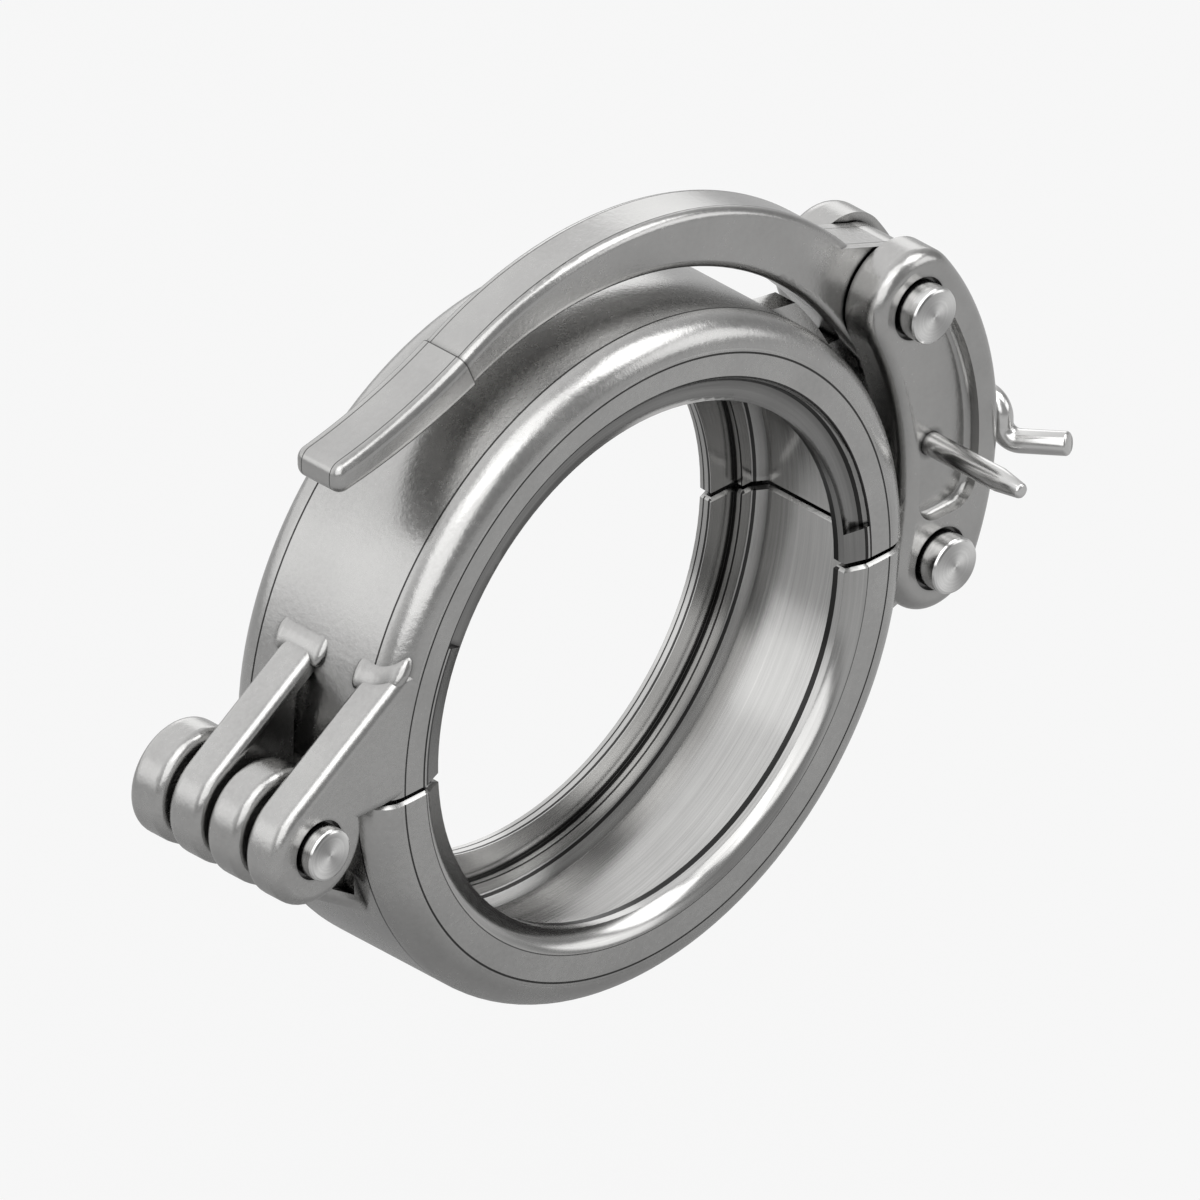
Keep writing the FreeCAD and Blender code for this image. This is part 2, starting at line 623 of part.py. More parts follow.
def safety_pin():
    """The bent safety pin: tapered leg through both plates, return leg outside them, and its grip."""
    front = -PLATE_OUT - SAFETY_FRONT
    rear = PLATE_OUT + SAFETY_REAR
    belly_x = (UPPER_PIN_X + LOWER_PIN_X) / 2 + PLATE_BELLY
    return_x = belly_x + SAFETY_RETURN_GAP
    turn = math.radians(SAFETY_GRIP_TURN_DEG)
    rise = math.radians(SAFETY_GRIP_RISE_DEG)
    grip = vec(math.cos(turn) * math.cos(rise), -math.sin(turn) * math.cos(rise), math.sin(rise))
    elbow = vec(return_x, SAFETY_RETURN_Y, SAFETY_Z - SAFETY_DROP)
    points = [vec(SAFETY_X, front, SAFETY_Z),
              vec(SAFETY_X, rear, SAFETY_Z),
              vec(return_x, rear, SAFETY_Z),
              vec(return_x, SAFETY_RETURN_Y, SAFETY_Z),
              elbow,
              elbow + grip * SAFETY_GRIP]
    rod = bent_rod(points, SAFETY_BEND_R, SAFETY_R)
    taper = Part.makeCone(SAFETY_TIP_R, SAFETY_R, SAFETY_TAPER, vec(SAFETY_X, front - SAFETY_TAPER, SAFETY_Z),
                          vec(0, 1, 0))
    return rod.fuse(taper).removeSplitter()


def save(name, shape):
    """Write one node and print what it holds."""
    solids = len(shape.Solids)
    shape.exportStep(os.path.join("parts", name + ".step"))
    print(name, "solids", solids, "valid", shape.isValid(), "volume", round(shape.Volume, 1))


def main():
    """Build and write every node."""
    os.makedirs("parts", exist_ok=True)
    hinge_rear = knuckle_span(3)[1] + HINGE_PIN_PROUD
    pin_reach = PLATE_OUT + LINK_PIN_PROUD
    cheek = LEVER_WIDTH / 2
    save("upper_half", upper_half())
    save("lower_half", lower_half())
    save("hinge_pin", pin((HINGE_X, HINGE_Z), HINGE_PIN_R, -HALF_W - HINGE_PIN_PROUD, hinge_rear))
    save("lever", lever())
    save("front_link_plate", link_plate(True))
    save("rear_link_plate", link_plate(False))
    save("lever_pivot_pin", pin(lever_pivot(), PIVOT_PIN_R, -cheek, cheek))
    save("upper_link_pin", pin((UPPER_PIN_X, UPPER_PIN_Z), LINK_PIN_R, -pin_reach, pin_reach))
    save("lower_link_pin", pin((LOWER_PIN_X, LOWER_PIN_Z), LINK_PIN_R, -pin_reach, pin_reach))
    save("safety_pin", safety_pin())
    pivot = lever_pivot()
    centre, hole_r = lower_pin_hole()
    print("lever pivot", round(pivot[0], 3), round(pivot[1], 3))
    print("lower hole", round(centre[0], 2), round(centre[1], 2), "radius", round(hole_r, 2))


main()
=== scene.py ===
"""Looks of the hinged split coupling: steel finishes, turned and bent pieces, studio and camera.

The pipe's axis is y, the coupling's front faces -y, the hinge is on the -x side and the latch on the +x side.
"""

import json
import logging
import math
from dataclasses import dataclass
from enum import Enum
from typing import Callable, Optional, Union

import bmesh
import bpy
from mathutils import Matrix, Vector

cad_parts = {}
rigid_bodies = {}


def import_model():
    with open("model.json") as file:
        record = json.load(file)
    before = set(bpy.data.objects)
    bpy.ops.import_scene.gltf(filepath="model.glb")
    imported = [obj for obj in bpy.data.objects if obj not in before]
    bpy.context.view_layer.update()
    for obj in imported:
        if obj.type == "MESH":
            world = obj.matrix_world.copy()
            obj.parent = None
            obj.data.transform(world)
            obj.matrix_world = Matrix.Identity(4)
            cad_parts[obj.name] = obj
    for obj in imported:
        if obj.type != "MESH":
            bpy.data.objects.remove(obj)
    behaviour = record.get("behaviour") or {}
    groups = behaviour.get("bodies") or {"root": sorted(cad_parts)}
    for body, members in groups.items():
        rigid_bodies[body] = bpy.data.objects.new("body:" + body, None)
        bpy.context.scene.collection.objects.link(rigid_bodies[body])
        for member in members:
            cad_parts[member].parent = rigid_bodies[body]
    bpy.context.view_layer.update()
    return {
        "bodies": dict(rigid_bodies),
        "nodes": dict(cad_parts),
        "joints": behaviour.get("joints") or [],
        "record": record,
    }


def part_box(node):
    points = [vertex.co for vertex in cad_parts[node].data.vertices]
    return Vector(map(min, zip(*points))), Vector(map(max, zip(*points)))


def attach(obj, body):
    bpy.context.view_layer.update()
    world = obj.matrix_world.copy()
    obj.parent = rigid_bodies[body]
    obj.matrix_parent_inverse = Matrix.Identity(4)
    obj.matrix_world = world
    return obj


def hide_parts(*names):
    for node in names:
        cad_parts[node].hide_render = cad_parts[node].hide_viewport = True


LOG = logging.getLogger("split_coupling")
MM = 0.001
NOISE_MIDDLE = 0.5

Value = Union["Wire", float, tuple]


class Skin(Enum):
    """How a steel surface was made."""

    CAST = "cast"
    FORGED = "forged"
    TURNED = "turned"
    DRAWN = "drawn"


class Run(Enum):
    """Where a fine dark edge line runs."""

    FACE = "round the flat front and rear faces"
    BARREL = "round the outside"
    BORE = "round the inside"


class Wire:
    """A shader socket that takes part in sums, written as a Python expression."""

    def __init__(self, graph: "Graph", socket: bpy.types.NodeSocket) -> None:
        """Keep the socket and the graph that it belongs to."""
        self.graph = graph
        self.socket = socket

    def other(self, output: str) -> "Wire":
        """Another output of the same node."""
        return Wire(self.graph, self.socket.node.outputs[output])

    def _math(self, operation: str, *values: Value) -> "Wire":
        """Add one Math node.

        Args:
            operation: the node's operation.
            values: numbers or wires, in the order of its sockets.

        Returns:
            The node's result.
        """
        return self.graph.node("ShaderNodeMath", {"operation": operation}, values)

    def __add__(self, other: Value) -> "Wire":
        """Sum."""
        return self._math("ADD", self, other)

    __radd__ = __add__

    def __sub__(self, other: Value) -> "Wire":
        """Difference."""
        return self._math("SUBTRACT", self, other)

    def __rsub__(self, other: Value) -> "Wire":
        """Difference, this one taken from the other."""
        return self._math("SUBTRACT", other, self)

    def __mul__(self, other: Value) -> "Wire":
        """Product."""
        return self._math("MULTIPLY", self, other)

    __rmul__ = __mul__

    def __lt__(self, other: Value) -> "Wire":
        """One where this is the smaller, zero elsewhere."""
        return self._math("LESS_THAN", self, other)

    def __gt__(self, other: Value) -> "Wire":
        """One where this is the larger, zero elsewhere."""
        return self._math("GREATER_THAN", self, other)

    def __abs__(self) -> "Wire":
        """Size without its sign."""
        return self._math("ABSOLUTE", self)

    def root(self) -> "Wire":
        """Square root."""
        return self._math("SQRT", self)

    def cosine(self) -> "Wire":
        """Cosine of an angle in radians."""
        return self._math("COSINE", self)

    def angle(self, across: "Wire") -> "Wire":
        """Angle in radians, this being the rise over what lies across."""
        return self._math("ARCTAN2", self, across)


class Graph:
    """The node tree of a material or of the world, with one method that makes any node but the output."""

    def __init__(self, owner: Union[bpy.types.Material, bpy.types.World]) -> None:
        """Empty the tree of a new material or world.

        Args:
            owner: the material or world.
        """
        owner.use_nodes = True
        self.owner = owner
        self.tree = owner.node_tree
        self.tree.nodes.clear()

    def node(self, kind: str, settings: dict, values: Union[tuple, list, dict] = (),
             output: Union[int, str] = 0) -> Wire:
        """Make a node, set it up and feed its sockets.

        Args:
            kind: the node's type.
            settings: its own settings; "stops" is a ramp's list of (place, colour).
            values: values or wires, as a list in socket order or a dict by socket name.
            output: which output to return, by place or name.

        Returns:
            The chosen output.
        """
        made = self.tree.nodes.new(kind)
        for key, value in settings.items():
            if key == "stops":
                self._stops(made.color_ramp, value)
            else:
                setattr(made, key, value)
        pairs = values.items() if isinstance(values, dict) else enumerate(values)
        for key, value in pairs:
            if isinstance(value, Wire):
                self.tree.links.new(value.socket, made.inputs[key])
            else:
                made.inputs[key].default_value = value
        return Wire(self, made.outputs[output])

    @staticmethod
    def _stops(ramp: bpy.types.ColorRamp, stops: list) -> None:
        """Give a ramp its stops.

        Args:
            ramp: the ramp.
            stops: pairs of a place and a colour.
        """
        while len(ramp.elements) > 1:
            ramp.elements.remove(ramp.elements[-1])
        for index, (place, colour) in enumerate(stops):
            stop = ramp.elements[0] if index == 0 else ramp.elements.new(place)
            stop.position = place
            stop.color = colour

    def finish(self, shader: Wire) -> Union[bpy.types.Material, bpy.types.World]:
        """Send a shader to the surface.

        Args:
            shader: the surface's shader.

        Returns:
            The finished material or world.
        """
        world = isinstance(self.owner, bpy.types.World)
        out = self.tree.nodes.new("ShaderNodeOutputWorld" if world else "ShaderNodeOutputMaterial")
        self.tree.links.new(shader.socket, out.inputs["Surface"])
        return self.owner


@dataclass(frozen=True)
class Ring:
    """The radii and depths of the half rings that their finish follows, in millimetres.

    Inside machined_r a casting is machined, but for its flat faces, which lie past face_y and outside face_r.
    The upper half's front lip has its hollow inside hollow_r and in front of hollow_y.
    The lower half's lips end in a cone, inside cone_r and past cone_y.
    """

    machined_r: float = 84.7
    face_y: float = 27.45
    face_r: float = 76.1
    hollow_y: float = -21.6
    hollow_r: float = 75.4
    cone_y: float = 25.2
    cone_r: float = 76.0


@dataclass(frozen=True)
class Line:
    """A fine dark edge line on a round surface, where a flat or the barrel meets a rounding; some lines are
    painted shade in a step or hollow instead.

    A line on a face keeps to its radius, and shows further from the ring's middle than y.
    A line on the barrel keeps to its y, from its radius outwards as far as its reach.
    A line in the bore keeps to its y, and shows inside its radius; it is painted shade in the bore's steps.
    """

    run: Run
    radius: float
    y: float
    half_width: float = 0.27
    depth: float = 0.88
    reach: float = 1.3


@dataclass(frozen=True)
class Spot:
    """Where the shaded point lies about the finish's own axis, as wires in metres."""

    across: Wire
    y: Wire
    rise: Wire
    radius: Wire


@dataclass(frozen=True)
class Noise:
    """A noise's fineness, its number of finer layers and how strong these are."""

    scale: float
    detail: float
    roughness: float

    def value(self, graph: Graph, vector: Wire) -> Wire:
        """Lay the noise over a surface.

        Args:
            graph: the material.
            vector: the coordinates that it follows.

        Returns:
            Its value, NOISE_MIDDLE on average.
        """
        return graph.node("ShaderNodeTexNoise", {}, {
            "Vector": vector, "Scale": self.scale, "Detail": self.detail, "Roughness": self.roughness}, "Fac")


@dataclass(frozen=True)
class SteelFinish:
    """A bare steel surface, all of it metal.

    Lengths are in millimetres, scales are per metre, and tones and depths are shares of the colour.
    The centre is the axis as x and z, and the span is where a turned pin starts and ends along y.
    """

    name: str
    skin: Skin
    colour: tuple = (0.47, 0.467, 0.46)
    roughness: float = 0.26
    mottle: float = 0.18
    peel: float = 0.05
    grain: Noise = Noise(700.0, 2.0, 0.65)
    centre: tuple = (0.0, 0.0)
    span: tuple = (0.0, 0.0)
    lines: tuple = ()
    lip_round: float = 0.0
    # The share of colour left in the painted shade of the upper half's hollow.
    hollow_shade_share: float = 1.0
    seam_deg: float = 0.0
    ring: Ring = Ring()
    base_tone: float = 0.9
    cloud: Noise = Noise(45.0, 3.0, 0.5)
    cloud_tone: float = 0.3
    cloud_rough: float = 0.12
    peel_rough: float = 0.1
    machined_rough: float = 0.2
    rings: Noise = Noise(1.0, 3.0, 0.7)
    rings_scale: float = 1500.0
    rings_stretch: float = 14.0
    rings_tone: float = 0.6
    rings_rough: float = 0.16
    rings_relief: float = 0.12
    # Painted shade from ambient occlusion in gaps and creases: its reach, samples and depth.
    shadow_reach: float = 1.8
    shadow_samples: int = 6
    shadow_depth: float = 0.88
    seam_half_width: float = 0.25
    seam_depth: float = 0.8
    end_depth: float = 0.3
    # The painted sheen on turned pin ends: its angle, brightness and slight dimming.
    sheen_deg: float = 35.0
    sheen_tone: float = 0.32
    sheen_dim: float = 0.05

    def material(self) -> bpy.types.Material:
        """Build the finish.

        Returns:
            The material, patterned on Object coordinates.
        """
        graph = Graph(bpy.data.materials.new(self.name))
        coords = graph.node("ShaderNodeTexCoord", {}, {}, "Object")
        spot = self._spot(graph, coords)
        cloud = self.cloud.value(graph, coords) - NOISE_MIDDLE
        grain = self.grain.value(graph, coords)
        speck = grain - NOISE_MIDDLE
        rings = self._rings(graph, spot)
        stripe = rings - NOISE_MIDDLE
        machined = self._machined(spot)
        cast = 1.0 - machined
        tone = (self.base_tone + cloud * self.cloud_tone + speck * cast * self.mottle
                + stripe * machined * self.rings_tone)
        tone = self._marked(graph, spot, tone)
        shade = graph.node("ShaderNodeMix", {"data_type": "RGBA", "clamp_factor": False}, {
            "Factor": tone, "A": (0.0, 0.0, 0.0, 1.0), "B": (*self.colour, 1.0)}, 2)
        rough = self.roughness + cloud * self.cloud_rough + speck * self.peel_rough
        rough = rough * cast + machined * (self.machined_rough + stripe * self.rings_rough)
        relief = grain * cast * (self.peel * MM) + rings * machined * (self.peel * self.rings_relief * MM)
        if self.lip_round:
            relief = relief - self._rounding(spot)
        bump = graph.node("ShaderNodeBump", {}, {
            "Strength": 1.0, "Distance": 1.0, "Height": relief}, "Normal")
        body = graph.node("ShaderNodeBsdfPrincipled", {}, {
            "Base Color": shade, "Metallic": 1.0, "Roughness": rough, "Normal": bump}, "BSDF")
        return graph.finish(body)

    def _spot(self, graph: Graph, coords: Wire) -> Spot:
        """Place a point about the finish's own axis.

        Args:
            graph: the material.
            coords: its Object coordinates.

        Returns:
            The point's place.
        """
        x = graph.node("ShaderNodeSeparateXYZ", {}, [coords], "X")
        across = x - self.centre[0] * MM
        rise = x.other("Z") - self.centre[1] * MM
        return Spot(across, x.other("Y"), rise, (across * across + rise * rise).root())

    def _rings(self, graph: Graph, spot: Spot) -> Wire:
        """Draw fine turning rings, which vary slowly round the axis and fast along it and out from it.

        Args:
            graph: the material.
            spot: the shaded point.

        Returns:
            The rings' shade.
        """
        vector = graph.node("ShaderNodeCombineXYZ", {}, [
            (spot.radius + spot.y) * self.rings_scale, spot.across * self.rings_stretch,
            spot.rise * self.rings_stretch])
        return self.rings.value(graph, vector)

    def _machined(self, spot: Spot) -> Value:
        """Find where the surface is machined.

        Args:
            spot: the shaded point.

        Returns:
            One where it is machined, zero elsewhere.
        """
        if self.skin is Skin.CAST:
            face = (abs(spot.y) > self.ring.face_y * MM) * (spot.radius > self.ring.face_r * MM)
            return (spot.radius < self.ring.machined_r * MM) * (1.0 - face)
        return 1.0 if self.skin is Skin.TURNED else 0.0

    def _marked(self, graph: Graph, spot: Spot, tone: Wire) -> Wire:
        """Darken a tone with painted shade in gaps, creases and the upper half's hollow, and along lines, and
        paint a sheen on what has been turned.

        Args:
            graph: the material.
            spot: the shaded point.
            tone: the metal's own tone.

        Returns:
            The tone with its marks, painted shade and a painted sheen among them.
        """
        # Painted shade: ambient occlusion darkens the colour in gaps, creases and between parts.
        open_sky = graph.node("ShaderNodeAmbientOcclusion", {"samples": self.shadow_samples}, {
            "Distance": self.shadow_reach * MM}, "AO")
        tone = tone * (1.0 - self.shadow_depth + open_sky * open_sky * self.shadow_depth)
        tone = tone * (1.0 - self._drawn(spot)) * self._painted_sheen(spot)
        if self.hollow_shade_share < 1.0:
            # Painted shade: the upper half's hollow inside its front lip is darkened.
            hollow = (spot.radius < self.ring.hollow_r * MM) * (spot.y < self.ring.hollow_y * MM)
            tone = tone * (1.0 - hollow * (1.0 - self.hollow_shade_share))
        if self.seam_deg:
            seam = math.radians(self.seam_deg)
            off = abs(spot.across * math.sin(seam) - spot.rise * math.cos(seam))
            mark = (off < self.seam_half_width * MM) * (spot.across < 0.0)
            tone = tone * (1.0 - mark * self.seam_depth)
        return tone

    def _drawn(self, spot: Spot) -> Value:
        """Mark the fine dark lines: edge lines, and painted shade in the bore and along the hollow.

        Args:
            spot: the shaded point.

        Returns:
            How dark the line is, zero where there is none.
        """
        total = 0.0
        for line in self.lines:
            if line.run is Run.FACE:
                near = abs(spot.radius - line.radius * MM) < line.half_width * MM
                here = near * (abs(spot.y) > line.y * MM)
            else:
                near = abs(spot.y - line.y * MM) < line.half_width * MM
                if line.run is Run.BARREL:
                    limit = line.radius + line.reach
                    here = near * ((spot.radius > line.radius * MM) * (spot.radius < limit * MM))
                else:
                    here = near * (spot.radius < line.radius * MM)
            total = total + here * line.depth
        return total

    def _painted_sheen(self, spot: Spot) -> Value:
        """Paint a sheen on a turned pin's ends in two fans, a painted reflection like the one spun metal
        shows.

        Args:
            spot: the shaded point.

        Returns:
            The tone's factor, one away from the ends.
        """
        if self.skin is not Skin.TURNED:
            return 1.0
        # Painted reflection: two bright fans and a slight dimming on each end.
        fans = ((spot.rise.angle(spot.across) - math.radians(self.sheen_deg)) * 2.0).cosine()
        low, high = self.span
        end = (spot.y < (low + self.end_depth) * MM) + (spot.y > (high - self.end_depth) * MM)
        return 1.0 + end * (fans * self.sheen_tone - self.sheen_dim)

    def _rounding(self, spot: Spot) -> Wire:
        """Round the cone of each lip off towards the bore.

        Args:
            spot: the shaded point.

        Returns:
            How far the surface falls away, in metres.
        """
        depth = self.ring.cone_r * MM - spot.radius
        inward = depth * (depth > 0.0)
        return inward * inward * (0.5 / (self.lip_round * MM)) * (abs(spot.y) > self.ring.cone_y * MM)


def paint(piece: bpy.types.Object, material: bpy.types.Material) -> None:
    """Put one material on a whole piece.

    Args:
        piece: a CAD node or a new piece.
        material: its finish.
    """
    piece.data.materials.clear()
    piece.data.materials.append(material)
    LOG.info("%s wears %s", piece.name, material.name)


def cad_span(node: str) -> tuple[Vector, Vector]:
    """Measure a CAD node.

    Args:
        node: its name.

    Returns:
        Its box's low and high corners in millimetres.
    """
    low, high = (Vector(corner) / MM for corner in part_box(node))
    return low, high


class Bench:
    """The modelling moves that the pieces share."""

    merge: float = 0.002

    @staticmethod
    def clear() -> None:
        """Deselect everything, because an operator acts on all that is selected."""
        bpy.ops.object.select_all(action="DESELECT")

    @staticmethod
    def rename(name: str) -> bpy.types.Object:
        """Name the piece just added.

        Args:
            name: its name, which its mesh takes too.

        Returns:
            The piece.
        """
        piece = bpy.context.object
        piece.name = name
        piece.data.name = name
        return piece

    @staticmethod
    def place() -> None:
        """Put the selected pieces' places into their meshes."""
        bpy.ops.object.transform_apply(location=True, rotation=True, scale=True)

    @staticmethod
    def pick_edges(piece: bpy.types.Object, wanted: Callable[[Vector, Vector], bool]) -> None:
        """Select in edit mode the edges that a test wants, and nothing else.

        Args:
            piece: the piece in edit mode.
            wanted: a test of an edge's two ends, in millimetres.
        """
        bpy.ops.mesh.select_mode(type="EDGE")
        bpy.ops.mesh.select_all(action="DESELECT")
        mesh = bmesh.from_edit_mesh(piece.data)
        for edge in mesh.edges:
            edge.select_set(wanted(*(piece.matrix_world @ vertex.co / MM for vertex in edge.verts)))
        bmesh.update_edit_mesh(piece.data)

    @staticmethod
    def pick_faces(piece: bpy.types.Object, wanted: Callable[[bmesh.types.BMFace], bool]) -> None:
        """Select in edit mode the faces that a test wants, and nothing else.

        Args:
            piece: the piece in edit mode.
            wanted: a test of a face.
        """
        bpy.ops.mesh.select_mode(type="FACE")
        bpy.ops.mesh.select_all(action="DESELECT")
        mesh = bmesh.from_edit_mesh(piece.data)
        for face in mesh.faces:
            face.select_set(wanted(face))
        bmesh.update_edit_mesh(piece.data)

    @staticmethod
    def settle(piece: bpy.types.Object, smooth_deg: float) -> None:
        """Close the edit, put the piece's place into its mesh and smooth it.

        Args:
            piece: the piece in edit mode.
            smooth_deg: edges sharper than this stay sharp.
        """
        bpy.ops.mesh.select_all(action="SELECT")
        bpy.ops.mesh.remove_doubles(threshold=Bench.merge * MM)
        bpy.ops.mesh.normals_make_consistent(inside=False)
        bpy.ops.object.mode_set(mode="OBJECT")
        Bench.place()
        bpy.ops.object.shade_smooth_by_angle(angle=math.radians(smooth_deg))
        LOG.info("%s has %d faces", piece.name, len(piece.data.polygons))


@dataclass
class Castings:
    """The two half rings, with the fine dark lines along their edges, turned steps and lips, and painted
    shade as dark lines in the bore.

    The upper half's front lip is hollowed, with painted shade across its hollow and along its rims, and the
    lower half's lips end in a rounded cone.
    """

    edges: tuple = (
        Line(Run.FACE, 83.5, 27.4), Line(Run.BARREL, 91.0, -19.0), Line(Run.BARREL, 91.0, 19.0))
    # Painted shade: dark lines in the bore's steps and grooves, the widest behind the front lip.
    bore_shade_lines: tuple = (
        Line(Run.BORE, 70.5, -22.3, 0.9, 0.93), Line(Run.BORE, 70.5, 22.1, 0.35),
        Line(Run.BORE, 70.5, 24.0, 0.22), Line(Run.BORE, 79.0, 20.9, 0.5, 0.9),
        Line(Run.BORE, 79.0, 18.9, 0.3), Line(Run.BORE, 82.0, 18.0, 0.3))
    # Painted shade along the rims of the upper half's hollow.
    hollow_shade_lines: tuple = (Line(Run.FACE, 77.0, 27.0, 0.3, 0.9), Line(Run.FACE, 75.7, 25.0, 0.4, 0.9))
    cone_edge: Line = Line(Run.FACE, 76.2, 27.0, 0.15, 0.7)
    # Painted shade across the upper half's hollow.
    painted_hollow_shade: float = 0.55
    cone_round: float = 5.5

    def dress(self, frame: dict) -> None:
        """Give each half its cast skin and its machined lips.
        """
        shared = self.edges + self.bore_shade_lines
        upper = SteelFinish("satin_cast_upper", Skin.CAST, lines=shared + self.hollow_shade_lines,
                            hollow_shade_share=self.painted_hollow_shade)
        lower = SteelFinish("satin_cast_lower", Skin.CAST, lines=shared + (self.cone_edge,),
                            lip_round=self.cone_round)
        paint(frame["nodes"]["upper_half"], upper.material())
        paint(frame["nodes"]["lower_half"], lower.material())


@dataclass
class ArmRoots:
    """The cast flares where the upper half's two hinge arms run into the barrel, in millimetres.

    An arm's top is the line z = tan(slope) x + line_z, and the barrel has rounded corners front and rear.
    """

    spans: tuple = (("front", -27.5, -16.0), ("rear", -0.5, 11.0))
    barrel_r: float = 92.0
    corner_r: float = 8.5
    half_width: float = 27.5
    slope_deg: float = 32.7
    line_z: float = 86.96
    arm_out: tuple = (-0.54, 0.0, 0.84)
    end_x: float = -83.6
    sink: float = 0.9
    spread: float = 0.5
    count: int = 9
    lump: tuple = (5.3, 2.1, 2.4)
    end_size: tuple = (1.04, 1.04)
    middle_size: tuple = (0.94, 0.96)
    facets: tuple = (32, 16)
    voxel: float = 0.45
    ease: float = 0.5
    ease_rounds: int = 16
    smooth_deg: float = 80.0
    finish: SteelFinish = SteelFinish("satin_cast_root", Skin.CAST)

    def root(self, y: float) -> tuple[Vector, Vector]:
        """Find where an arm's top runs into the ring's outside.

        Args:
            y: place along the pipe's axis.

        Returns:
            The point, sunk a little below the skin, and the direction halfway between the two outsides.
        """
        past = max(0.0, abs(y) - (self.half_width - self.corner_r))
        radius = self.barrel_r - self.corner_r + math.sqrt(max(0.0, self.corner_r ** 2 - past ** 2))
        slope = math.tan(math.radians(self.slope_deg))
        square = 1.0 + slope ** 2
        half = slope * self.line_z
        x = (-half - math.sqrt(half ** 2 - square * (self.line_z ** 2 - radius ** 2))) / square
        x = min(x, self.end_x)
        point = Vector((x, y, slope * x + self.line_z))
        point -= self.outwards(point) * self.sink
        return point, self.outwards(point)

    def outwards(self, point: Vector) -> Vector:
        """Give the direction halfway between the barrel's and the arm's outsides.

        Args:
            point: a point on the root.

        Returns:
            A unit vector.
        """
        return (Vector((point.x, 0.0, point.z)).normalized() + Vector(self.arm_out)).normalized()

    def model(self, name: str, low: float, high: float) -> bpy.types.Object:
        """Build one flare from overlapping lumps, melted into one skin.

        Args:
            name: which arm it belongs to.
            low: where the arm starts along y.
            high: where it ends.

        Returns:
            The flare.
        """
        Bench.clear()
        length, height, depth = self.lump
        first = max(low - self.spread, -self.half_width + depth)
        last = high + self.spread
        lumps = []
        for index in range(self.count):
            spot, out = self.root(first + (last - first) * index / (self.count - 1))
            wide, tall = self.end_size if index in (0, self.count - 1) else self.middle_size
            bpy.ops.mesh.primitive_uv_sphere_add(
                segments=self.facets[0], ring_count=self.facets[1], radius=MM, location=spot * MM,
                rotation=(0.0, math.atan2(out.x, out.z), 0.0), scale=(length * wide, depth, height * tall))
            lumps.append(bpy.context.object)
        for lump in lumps:
            lump.select_set(True)
        bpy.ops.object.join()
        piece = Bench.rename("arm_root_" + name)
        Bench.place()
        melt = piece.modifiers.new("melt", "REMESH")
        melt.mode = "VOXEL"
        melt.voxel_size = self.voxel * MM
        ease = piece.modifiers.new("ease", "SMOOTH")
        ease.factor = self.ease
        ease.iterations = self.ease_rounds
        for modifier in ("melt", "ease"):
            bpy.ops.object.modifier_apply(modifier=modifier)
        bpy.ops.object.mode_set(mode="EDIT")
        Bench.settle(piece, self.smooth_deg)
        return piece

    def build(self) -> None:
        """Model, seat and dress both flares."""
        material = self.finish.material()
        for name, low, high in self.spans:
            piece = self.model(name, low, high)
            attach(piece, "upper_body")
            paint(piece, material)


@dataclass
class Toggle:
    """The lever and its two link plates.

    Fine dark lines run along both edges of the lever's top and across its neck.
    """

    lever_edge: float = 4.9
    lever_r: float = 93.0
    lever_reach: float = 60.0
    edge_half_width: float = 0.14
    edge_depth: float = 0.75
    neck_deg: float = 113.8

    def dress(self, frame: dict) -> None:
        """Give the lever and the link plates their forged skin.
        """
        edges = tuple(
            Line(Run.BARREL, self.lever_r, y, self.edge_half_width, self.edge_depth, self.lever_reach)
            for y in (self.lever_edge, -self.lever_edge))
        forged = {"skin": Skin.FORGED, "roughness": 0.25, "mottle": 0.12, "peel": 0.04}
        lever = SteelFinish("satin_forged_lever", colour=(0.46, 0.457, 0.45), lines=edges,
                            seam_deg=self.neck_deg, **forged)
        link = SteelFinish("satin_forged_link", colour=(0.45, 0.447, 0.44), **forged)
        paint(frame["nodes"]["lever"], lever.material())
        material = link.material()
        for name in ("front_link_plate", "rear_link_plate"):
            paint(frame["nodes"][name], material)


